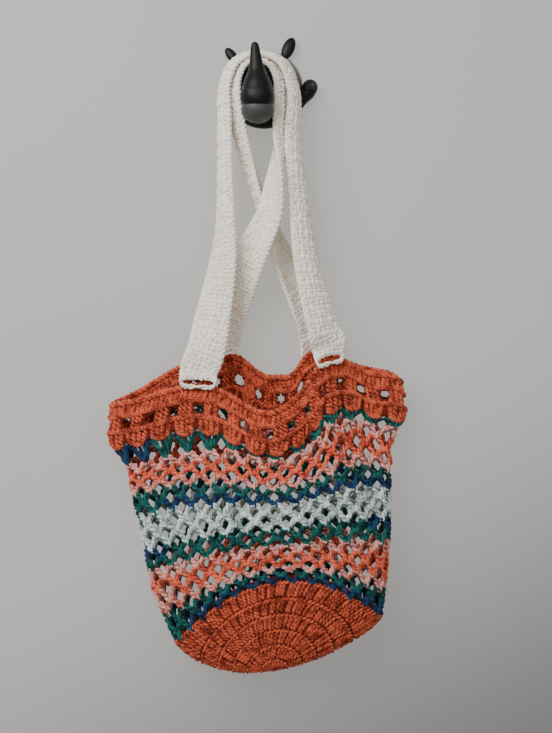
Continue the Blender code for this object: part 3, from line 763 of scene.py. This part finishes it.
def make_net(materials):
    """The V's and the loops round their knots, as three pieces."""
    knots = net_knots()
    starts, ends, slots = [], [], []
    for row in range(NET_ROWS):
        for stitch in range(V_STITCHES):
            # The knot at the foot of a V, and the two at its tops. An odd line's knots are half a stitch on.
            foot = knots[row + 1, stitch]
            right = stitch + (row + 1) % 2
            for top_stitch, side in ((right - 1, 1), (right, -1)):
                top = knots[row, top_stitch % V_STITCHES].copy()
                top[0] += ROUND_LENGTH * (top_stitch // V_STITCHES)
                starts.append(foot + (0, FOOT_REACH, FOOT_OUT))
                ends.append(top + (side * TIP_SPREAD, -TIP_REACH, TIP_OUT))
                slots.append(colour_slot(row, (foot[0] + top[0]) / 2))
    phase = RANDOM.uniform(-0.5, 0.5, len(starts))
    legs = on_wall(twisted(starts, ends, spread=1.85, lift=1.5, turns=1.3, steps=10, phase=phase))
    turn = np.linspace(0, TURN, 7, endpoint=False)
    ring = np.stack([np.cos(turn) * LOOP[0], np.sin(turn) * LOOP[1], np.sin(turn) * LOOP[2] - 0.2], -1)
    loops = on_wall(knots[1:-1, :, None] + ring)
    loop_slots = [colour_slot(line, u) for line in range(1, NET_ROWS) for u in knots[line, :, 0]]
    half = len(legs) // 2
    slots = np.repeat(slots, 2)  # one for each ply
    return [
        yarn_piece("net_upper_stitches", [(legs[:half], NET_YARN, slots[:2 * half], False)], materials),
        yarn_piece("net_lower_stitches", [(legs[half:], NET_YARN, slots[2 * half:], False)], materials),
        yarn_piece("net_loops", [(loops, NET_YARN, loop_slots, True)], materials),
    ]


# ---- the base
def grow(bm, edge):
    """Extrudes a border: the edges and the points of the new one."""
    made = bmesh.ops.extrude_edge_only(bm, edges=edge)["geom"]
    edge = [g for g in made if isinstance(g, bmesh.types.BMEdge)]
    return edge, list({v for e in edge for v in e.verts})


def disc_core(material):
    """The cloth that the base's stitches stand on."""
    bm = bmesh.new()
    rings = 14
    bmesh.ops.create_circle(bm, cap_ends=True, cap_tris=True, segments=72, radius=BASE_RADIUS / rings)
    edge = [e for e in bm.edges if e.is_boundary]
    for k in range(2, rings + 1):
        edge, ring = grow(bm, edge)
        bmesh.ops.scale(bm, vec=(k / (k - 1), k / (k - 1), 1), verts=ring)
    return hang_cloth(bm, "base_cloth", lambda co: co.xy, on_disc, 0.6, [material])


def polar(radius, turn, w):
    """Flat points of the base, by their distance from its centre and turn from its left."""
    radius, turn, w = np.broadcast_arrays(radius, turn, w)
    return np.stack([-radius * np.cos(turn), -radius * np.sin(turn), w], -1)


def make_base(material):
    """Rounds of posts, each closed by a low rope on both faces."""
    depth = BASE_RADIUS / BASE_ROUNDS
    groups = []
    for k in range(BASE_ROUNDS):
        count = BASE_STITCHES * (k + 1)
        turn = (np.arange(count) + 0.3 * k) * TURN / count + jitter(0.06 / (k + 1), count)
        reach = jitter(0.35, count)
        starts = polar(depth * k + 2.2 + reach, turn, 0.2)
        ends = polar(depth * (k + 1) - 1.2 + reach, turn + 0.8 * math.pi / count, 0.2)
        starts[:, 2] += jitter(0.4, count)
        phase = RANDOM.uniform(-0.8, 0.8, count)
        posts = twisted(starts, ends, spread=1.45, lift=1.8, turns=1.8, steps=10, phase=phase)
        groups.append((on_disc(posts), BASE_YARN, 0, False))
        along = np.arange(6 * count) * TURN / (6 * count)
        wave = along * count
        for side in (1, -1):
            out = side * (1.5 + 1.1 * np.cos(wave))
            rope = polar(depth * (k + 1) - 0.9 + 0.9 * np.sin(wave), along, out)
            groups.append((on_disc(rope)[None], CHAIN_YARN, 0, True))
    return yarn_piece("base_stitches", groups, [material])


# ---- the rim band
# Rounds of the band, by their depth below the rim. A post's foot is deeper than its top.
SHELL_FOOT, SHELL_TOP = 43.6, 31.2
CLUSTER_FOOT, CLUSTER_TOP = 28.6, 15.6
DENSE_FOOT, DENSE_TOP = 13.2, 5.4
CHAIN_DEPTHS = (14.5, 29.5)
ROPE_DEPTH, ROPE_TURNS = 1.6, 62
HOLE_DEPTHS = (17.4, 19.4, 23.8, 25.8)  # the edges of a hole's upper, middle and lower parts
HOLE_CELLS = (3, 5, 3)  # how wide these parts are, in cells of the band's core
CELLS = 11  # of the core at each V
BAND_STEPS = CELLS * V_STITCHES


def band_core(material):
    """The cloth that the band's stitches stand on, with a hole at each V."""
    bm = straight_tube((2.0, 10.0, *HOLE_DEPTHS, 34.0, 41.0), BAND_STEPS)
    narrower = RANDOM.integers(0, 3, V_STITCHES)
    holes = []
    for face in bm.faces:
        at = face.calc_center_median()
        part = np.searchsorted(HOLE_DEPTHS, -at.z) - 1
        if 0 <= part < len(HOLE_CELLS):
            cell = int(around_tube(at) * BAND_STEPS) + CELLS // 2
            stitch = cell // CELLS % V_STITCHES
            off_middle = abs(cell % CELLS - CELLS // 2)
            if off_middle <= (HOLE_CELLS[part] - narrower[stitch]) / 2:
                holes.append(face)
    bmesh.ops.delete(bm, geom=holes, context="FACES")
    return hang_cloth(bm, "band_cloth", unrolled, on_wall, 0.7, [material])


def make_band(material):
    groups = []
    middles = np.arange(V_STITCHES) * V_PITCH + V_PITCH / 2  # between the holes, and over the net's first V's

    def posts(foot_u, foot_v, top_u, top_v, foot_w=0.3):
        starts, ends = (
            np.stack(np.broadcast_arrays(u, v, 0.0), -1) for u, v in ((foot_u, foot_v), (top_u, top_v)))
        starts[:, :2] += jitter(0.55, (len(starts), 2))
        starts[:, 2] = foot_w + jitter(0.35, len(starts))
        ends[:, 0] += jitter(0.5, len(starts))
        phase = RANDOM.uniform(-0.6, 0.6, len(starts))
        yarns = twisted(starts, ends, spread=1.55, lift=2.0, turns=1.6, steps=11, phase=phase)
        groups.append((on_wall(yarns), BAND_YARN, 0, False))

    # The shells: four posts that fan out over the opening of each V.
    for place in (-1.5, -0.5, 0.5, 1.5):
        foot = middles + place * 4.7
        sag = droop_at(foot)
        deep = SHELL_FOOT - 1.2 * place**2 + BAND_SAG * sag
        posts(foot, deep, middles + place * 5.9, SHELL_TOP, 1.2 + sag / 4)
    # The loops that round off the foot of each shell.
    t = np.linspace(-1, 1, 21)
    uneven = jitter(0.5, (V_STITCHES, 1))
    for half_turn in PLY_TURNS:
        twist = t * 3 * math.pi + half_turn + RANDOM.uniform(-1, 1, (V_STITCHES, 1))
        u = middles[:, None] + 8.8 * t + 0.5 * np.sin(twist)
        v = 39.8 + 4.4 * (1 - t**2) + BAND_SAG * droop_at(u) + uneven + 1.1 * np.sin(twist)
        w = 0.9 + droop_at(u) / 4 - 0.8 * t**2 + 1.6 * np.cos(twist)
        groups.append((on_wall(np.stack([u, v, w], -1)), BAND_YARN, 0, False))
    # The clusters: three posts between the holes.
    for place in (-1, 0, 1):
        lean = jitter(0.8, V_STITCHES)
        posts(middles + place * 4.8 + lean, CLUSTER_FOOT, middles + place * 4.6, CLUSTER_TOP)
    # The dense round under the edge.
    dense = np.arange(5 * V_STITCHES) * V_PITCH / 5
    posts(dense, DENSE_FOOT, dense + 2.4, DENSE_TOP)
    # The chains between the rounds, on both faces.
    along = np.arange(24 * V_STITCHES) * ROUND_LENGTH / (24 * V_STITCHES)
    wave = along / V_PITCH * 4 * TURN
    for depth in CHAIN_DEPTHS:
        for side in (1, -1):
            for half_turn in PLY_TURNS:
                sway, rise = np.sin(wave + half_turn), np.cos(wave + half_turn)
                uneven = jitter(0.35, along.shape)
                chain = np.stack([along, depth + 1.7 * sway + uneven, side * (2.1 + 1.3 * rise)], -1)
                groups.append((on_wall(chain)[None], CHAIN_YARN, 0, True))
    # The rope edge.
    twist = along / ROUND_LENGTH * TURN * ROPE_TURNS
    for half_turn in PLY_TURNS:
        v, w = ROPE_DEPTH + 1.7 * np.sin(twist + half_turn), 1.9 * np.cos(twist + half_turn)
        groups.append((on_wall(np.stack([along, v, w], -1))[None], ROPE_YARN, 0, True))
    return yarn_piece("band_stitches", groups, [material])


# ---- the straps
def strap_core(name, strap, material):
    """The cloth that a strap's stitches stand on, between its first and last rows."""
    length = strap[0]
    bm = bmesh.new()
    bmesh.ops.create_grid(bm, x_segments=8, y_segments=int(length / 5), size=0.5)
    bmesh.ops.scale(bm, vec=(STRAP_WIDTH - 5, length - 2 * STRAP_END, 1), verts=bm.verts)
    bmesh.ops.translate(bm, vec=(0, length / 2, 0), verts=bm.verts)
    return hang_cloth(
        bm, name + "_cloth", lambda co: co.xy, lambda flat: on_strap(flat, strap), 0.9, [material])


def make_strap(name, strap, material):
    """A strap's rows of stitches on both faces, its edges and the chains that sew its ends to the rim."""
    length = strap[0]
    rows = int((length - 2 * STRAP_END) / STRAP_ROW)
    half = STRAP_WIDTH / 2 - 2.2
    cell = 2 * half / STRAP_STITCHES
    groups = []
    row = np.arange(rows)
    columns = -half + (np.arange(STRAP_STITCHES) + 0.5) * cell
    t = np.linspace(-1, 1, 4)

    def lay(own, across, along, out, radius):
        """Lays one yarn in each stitch of its own rows: its places come as functions of t, from -1 to 1."""
        u = columns[None, :] + jitter(0.5, (len(own), STRAP_STITCHES))
        v = STRAP_END + own[:, None] * STRAP_ROW + jitter(0.45, u.shape)
        w = jitter(0.3, u.shape)
        u, v, w = u[..., None] + across, v[..., None] + along * STRAP_ROW, face * (w[..., None] + out)
        groups.append((on_strap(np.stack([u, v, w], -1), strap), radius, 0, False))

    # The work is turned at each row, so each face shows V's in one row and two bars in the next.
    for face in (1, -1):
        v_rows, bar_rows = row[row % 2 == (face < 0)], row[row % 2 == (face > 0)]
        for side in (1, -1):
            lay(v_rows, side * (1.4 + 0.9 * t), 0.5 + 0.52 * t, 1.5 - 1.3 * t**2, STRAP_YARN)
        for middle, tilt in ((0.24, 0.1), (0.76, -0.08)):
            lay(bar_rows, 0.44 * cell * t, middle - tilt * t, 1.6 - 1.6 * t**2, STRAP_YARN * 0.96)
    along = np.linspace(STRAP_END, length - STRAP_END, int(length / 2))
    wave = along / STRAP_ROW * 1.4 * math.pi + 0.6 * np.sin(along / 13)
    for side in (1, -1):
        for half_turn in PLY_TURNS:
            u, w = side * half + 1.5 * np.sin(wave + half_turn), 1.3 * np.cos(wave + half_turn)
            groups.append((on_strap(np.stack([u, along, w], -1), strap)[None], EDGE_YARN, 0, False))
    # The twisted chain that sews each end to the rim. It passes under the last row and leaves a slit there.
    turn = np.linspace(-math.pi / 2, math.pi / 2, 84)
    for end, way in ((0.0, 1), (length, -1)):
        across = np.sign(turn) * np.abs(np.sin(turn)) ** 0.5 * (half + 1.4)
        up = 1.6 + (STRAP_END + 1.5) * (1 - np.cos(turn) ** 0.6)
        for half_turn in PLY_TURNS:
            twist = turn * 9 + half_turn
            u, v = across + 0.5 * np.sin(twist), end + way * (up + 1.35 * np.sin(twist))
            chain = np.stack([u, v, 1.2 + 1.5 * np.cos(twist)], -1)
            groups.append((on_strap(chain, strap)[None], SEWING_YARN, 0, False))
    return yarn_piece(name + "_stitches", groups, [material])


# ---- the hook
BASE_RINGS = table("y radius x z", (
    (-0.3, 43.8, 1, 1),
    (-1.6, 45, 1, 1),
    (-5, 45, 1, 1),
    (-7.6, 43.6, 1, 1),
    (-9.4, 41.2, 1, 1),
    (-10.6, 37.5, 0, 0),
    (-11.2, 31, -1, -1),
    (-11.8, 26, -3, -3),
    (-13.5, 22.6, -4, -4),
    (-20, 20.6, -4.6, -5),
    (-34, 18.8, -6, -7.5),
    (-54, 14.8, -6.5, -11.5),
    (-57.4, 13.6, -6.5, -12),
    (-58, 12, -6.5, -12),
))
HORN = table("x y z radius", (
    (-6, -73.4, -31, 18.2),
    (-6.1, -73.6, -24, 17),
    (-6.3, -74.2, -16, 13.8),
    (-6.6, -75, -9, 10.8),
    (-7, -76.2, -2, 8.6),
    (-7.6, -78, 7, 6.9),
    (-8.2, -80, 15, 5.7),
    (-8.5, -81.5, 20, 4.7),
))
LUG = table("x y z radius", (
    (35.5, -5.5, -28, 3.4),
    (39, -6.6, -21, 5.4),
    (44.5, -8.2, -12, 7.2),
    (50.5, -9.8, -5, 8.8),
    (53, -10.2, 0, 9.2),
))
BALLS = table("piece x y z radius_x radius_y radius_z tilt", (
    ("hook_head", -6, -73.5, -32, 18.8, 18.5, 17.5, 0),
    ("hook_chin", -6, -70.5, -44.5, 17.8, 17, 14, 0),
    ("hook_ear_left", -37.2, -6, 38.2, 5.8, 4.4, 11, -39),
    ("hook_ear_right", 28.2, -6.6, 46.2, 7.2, 4.8, 13.6, 24),
    ("hook_lug", 46, -7, -5, 7, 5.5, 8, 0),
))
RING_AT, RING_REACH, RING_RADIUS = (53.0, -18.4, 0.0), 4.6, 1.7  # the raised ring on the lug's face
RING_BALLS = 28
VOXEL = 0.8
HEAD_SOFTNESS, SOFTNESS = 40, 8  # how many times the head is smoothed, and the other pieces


def ball(bm, centre, radii, tilt=0.0, segments=32):
    """An egg with three radii, tilted in degrees from upright towards +X."""
    turn = Matrix.Rotation(math.radians(tilt), 4, "Y")
    at = Matrix.Translation(centre) @ turn @ Matrix.Diagonal((*radii, 1))
    bmesh.ops.create_uvsphere(bm, u_segments=segments, v_segments=segments // 2, radius=1, matrix=at)


def rod(bm, rows):
    """A chain of balls, so close that they read as one tapered rod."""
    for low, high in zip(rows, rows[1:]):
        for share in np.linspace(0, 1, 5):
            x, y, z, radius = (a + (b - a) * share for a, b in zip(low, high))
            ball(bm, (x, y, z), (radius,) * 3, segments=16)


def moulded(bm, name, softness, material):
    """Melts overlapping forms into one smooth body."""
    obj = from_bmesh(bm, name + "_form", [material])
    remesh = obj.modifiers.new("melt", "REMESH")
    remesh.mode = "VOXEL"
    remesh.voxel_size = VOXEL * MM
    soften = obj.modifiers.new("soften", "SMOOTH")
    soften.iterations = softness
    return to_mesh(obj, name)


def make_boss(material):
    """The round boss on the wall and the drooping neck that the straps lie on."""
    bm = bmesh.new()
    bmesh.ops.create_circle(bm, cap_ends=True, segments=96, radius=BASE_RINGS[0].radius)
    bmesh.ops.rotate(bm, matrix=Matrix.Rotation(math.pi / 2, 3, "X"), verts=bm.verts)
    bmesh.ops.translate(bm, vec=(0, BASE_RINGS[0].y, 0), verts=bm.verts)
    edge = bm.edges[:]
    for last, ring in zip(BASE_RINGS, BASE_RINGS[1:]):
        edge, verts = grow(bm, edge)
        bmesh.ops.translate(bm, vec=(-last.x, 0, -last.z), verts=verts)
        bmesh.ops.scale(bm, vec=(ring.radius / last.radius, 1, ring.radius / last.radius), verts=verts)
        bmesh.ops.translate(bm, vec=(ring.x, ring.y - last.y, ring.z), verts=verts)
    bmesh.ops.holes_fill(bm, edges=edge)
    bmesh.ops.recalc_face_normals(bm, faces=bm.faces)
    obj = from_bmesh(bm, "hook_boss", [material])
    obj.data.set_sharp_from_angle(angle=math.radians(50))
    return obj


def make_hook(black, reflected_grey, boss):
    """The hook's pieces, by the name of the piece."""
    made = {"hook_boss": make_boss(boss)}
    for name in dict.fromkeys(row.piece for row in BALLS):
        bm = bmesh.new()
        for row in BALLS:
            if row.piece == name:
                ball(bm, (row.x, row.y, row.z), (row.radius_x, row.radius_y, row.radius_z), row.tilt)
        if name == "hook_head":
            rod(bm, HORN)
        if name == "hook_lug":
            rod(bm, LUG)
            for turn in np.linspace(0, TURN, RING_BALLS, endpoint=False):
                x, z = RING_REACH * math.cos(turn), RING_REACH * math.sin(turn)
                ball(bm, (RING_AT[0] + x, RING_AT[1], RING_AT[2] + z), (RING_RADIUS,) * 3, segments=12)
        softness = HEAD_SOFTNESS if name == "hook_head" else SOFTNESS
        # The chin is painted grey as a reflection of the floor.
        made[name] = moulded(bm, name + "_smooth", softness, reflected_grey if name == "hook_chin" else black)
    return made


# ---- putting it together
WALL_HALF, WALL_OFF = 3000, 0.5  # half its width, and its distance behind the hook's back, in mm
# Painted shade: the wall is painted darker down to the right.
WALL_SHADE_WAY = (0.5, 0.0, -1.0)  # the way the wall's tone falls, down to the right, each metre
WALL_COLOURS = (197, 195, 191), (124, 121, 120)
# Painted light for the light scattered in the room: the wall's own glow, and the share of its colour that
# takes shade.
WALL_PAINTED_GLOW, WALL_SHADES = 0.7, 0.38
WORLD_COLOUR, WORLD_STRENGTH = (1.0, 0.99, 0.97, 1), 0.3
LAMPS = table("name watts size x y z aim_x aim_z", (  # in watts and metres
    ("window", 12, 0.9, -0.6, -0.9, 0.3, -0.1, -0.3),
    ("room", 7, 1.5, -0.1, -1.05, 0.1, -0.05, -0.2),
))
CAMERA_AT = (0.0139, -0.95, -0.3205)
SENSOR_HEIGHT, FOCAL_SHARE = 36.0, 818 / 733  # in mm, and the focal length beside the picture's height


def main():
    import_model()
    fibre = fibre_group()
    yarns = {name: yarn_material(name, fibre) for name in PLIES}
    pieces = []

    def add_cloth(core, stitches, slot, node, **sheet):
        pieces.extend([(core, slot, [node]), *((piece, slot, []) for piece in stitches)])

    # The net's heart takes darker copies of its yarns: painted shade between the stitches.
    shaded_hearts = [yarn_material(name, fibre, HEART_PAINTED_SHADE) for name in YARNS]
    add_cloth(
        net_core(shaded_hearts), make_net([yarns[name] for name in YARNS]), "striped_cotton", "net_wall",
        flat=(0.7, 0.175), area=NET_SHARE * 0.7 * 0.175)
    # The base's and the band's cloth are painted shade between their stitches.
    add_cloth(
        disc_core(yarns["base_shade"]), [make_base(yarns["coral"])], "coral_cotton", "base_disc",
        flat=(0.224, 0.224), area=math.pi * 0.112**2)
    add_cloth(
        band_core(yarns["shade"]), [make_band(yarns["coral"])], "coral_cotton", "rim_band",
        flat=(0.7, 0.045))
    for name, rows, bulge in (("strap_front", FRONT_STRAP, 1), ("strap_back", BACK_STRAP, -1)):
        strap = strap_grid(name, rows, bulge)
        core, stitches = (make(name, strap, yarns["cream"]) for make in (strap_core, make_strap))
        add_cloth(
            core, [stitches], "white_cotton", name, flat=(0.042, strap[0] * MM), rests_on=["hook_base"])
    black, reflected_grey, boss = (gloss_material(name) for name in PAINTS)
    replaced = {"hook_boss": ["hook_base"], "hook_head": ["hook_head", "hook_horn"], "hook_chin": []}
    for name, piece in make_hook(black, reflected_grey, boss).items():
        slot = "grey_resin" if name in ("hook_boss", "hook_chin") else "black_resin"
        pieces.append((piece, slot, replaced.get(name, [name])))
    for piece, slot, nodes in pieces:
        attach(piece, "root")
        if nodes:
            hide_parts(*nodes)

    stage()


def painted_wall():
    """The wall behind the hook, painted darker down to the right as painted shade and glowing as painted
    light. From behind, it lets the view through.
    """
    bm = bmesh.new()
    bmesh.ops.create_grid(bm, x_segments=1, y_segments=1, size=WALL_HALF)
    bmesh.ops.rotate(bm, matrix=Matrix.Rotation(math.pi / 2, 3, "X"), verts=bm.verts)
    bmesh.ops.translate(bm, vec=(0, WALL_OFF, 0), verts=bm.verts)
    paint, tree, shader = new_material("wall_paint")
    place = add_node(tree, "TexCoord").outputs["Object"]
    towards = add_node(tree, "VectorMath", {0: place, 1: WALL_SHADE_WAY}, operation="DOT_PRODUCT")
    # Painted shade: darker down to the right.
    tone = add_ramp(tree, towards.outputs["Value"], WALL_COLOURS, (0.4, 1.0), "EASE")
    shaded = add_node(tree, "VectorMath", {0: tone, "Scale": WALL_SHADES}, operation="SCALE")
    feed(tree, shader, {
        "Base Color": shaded.outputs["Vector"],
        "Roughness": 0.8,
        "Emission Color": tone,
        "Emission Strength": WALL_PAINTED_GLOW,
    })
    from_behind = add_node(tree, "NewGeometry").outputs["Backfacing"]
    clear = add_node(tree, "BsdfTransparent").outputs["BSDF"]
    mix = add_node(tree, "MixShader", {0: from_behind, 1: shader.outputs["BSDF"], 2: clear})
    feed(tree, tree.nodes["Material Output"], {"Surface": mix.outputs["Shader"]})
    return from_bmesh(bm, "painted_wall", [paint])


def stage():
    """The wall, the light from a window and the camera."""
    painted_wall()
    world = bpy.data.worlds.new("room")
    bpy.context.scene.world = world
    world.use_nodes = True
    background = {"Color": WORLD_COLOUR, "Strength": WORLD_STRENGTH}
    feed(world.node_tree, world.node_tree.nodes["Background"], background)
    for lamp in LAMPS:
        light = bpy.data.lights.new(lamp.name, "AREA")
        light.energy, light.size = lamp.watts, lamp.size
        obj = in_scene(lamp.name, light)
        obj.location = (lamp.x, lamp.y, lamp.z)
        aim = Vector((lamp.aim_x, 0, lamp.aim_z)) - obj.location
        obj.rotation_euler = aim.to_track_quat("-Z", "Y").to_euler()
    optics = bpy.data.cameras.new("camera")
    optics.sensor_fit = "VERTICAL"
    optics.sensor_height = SENSOR_HEIGHT
    optics.lens = SENSOR_HEIGHT * FOCAL_SHARE
    camera = in_scene("camera", optics)
    camera.location = CAMERA_AT
    camera.rotation_euler = (math.pi / 2, 0, 0)
    bpy.context.scene.camera = camera


main()
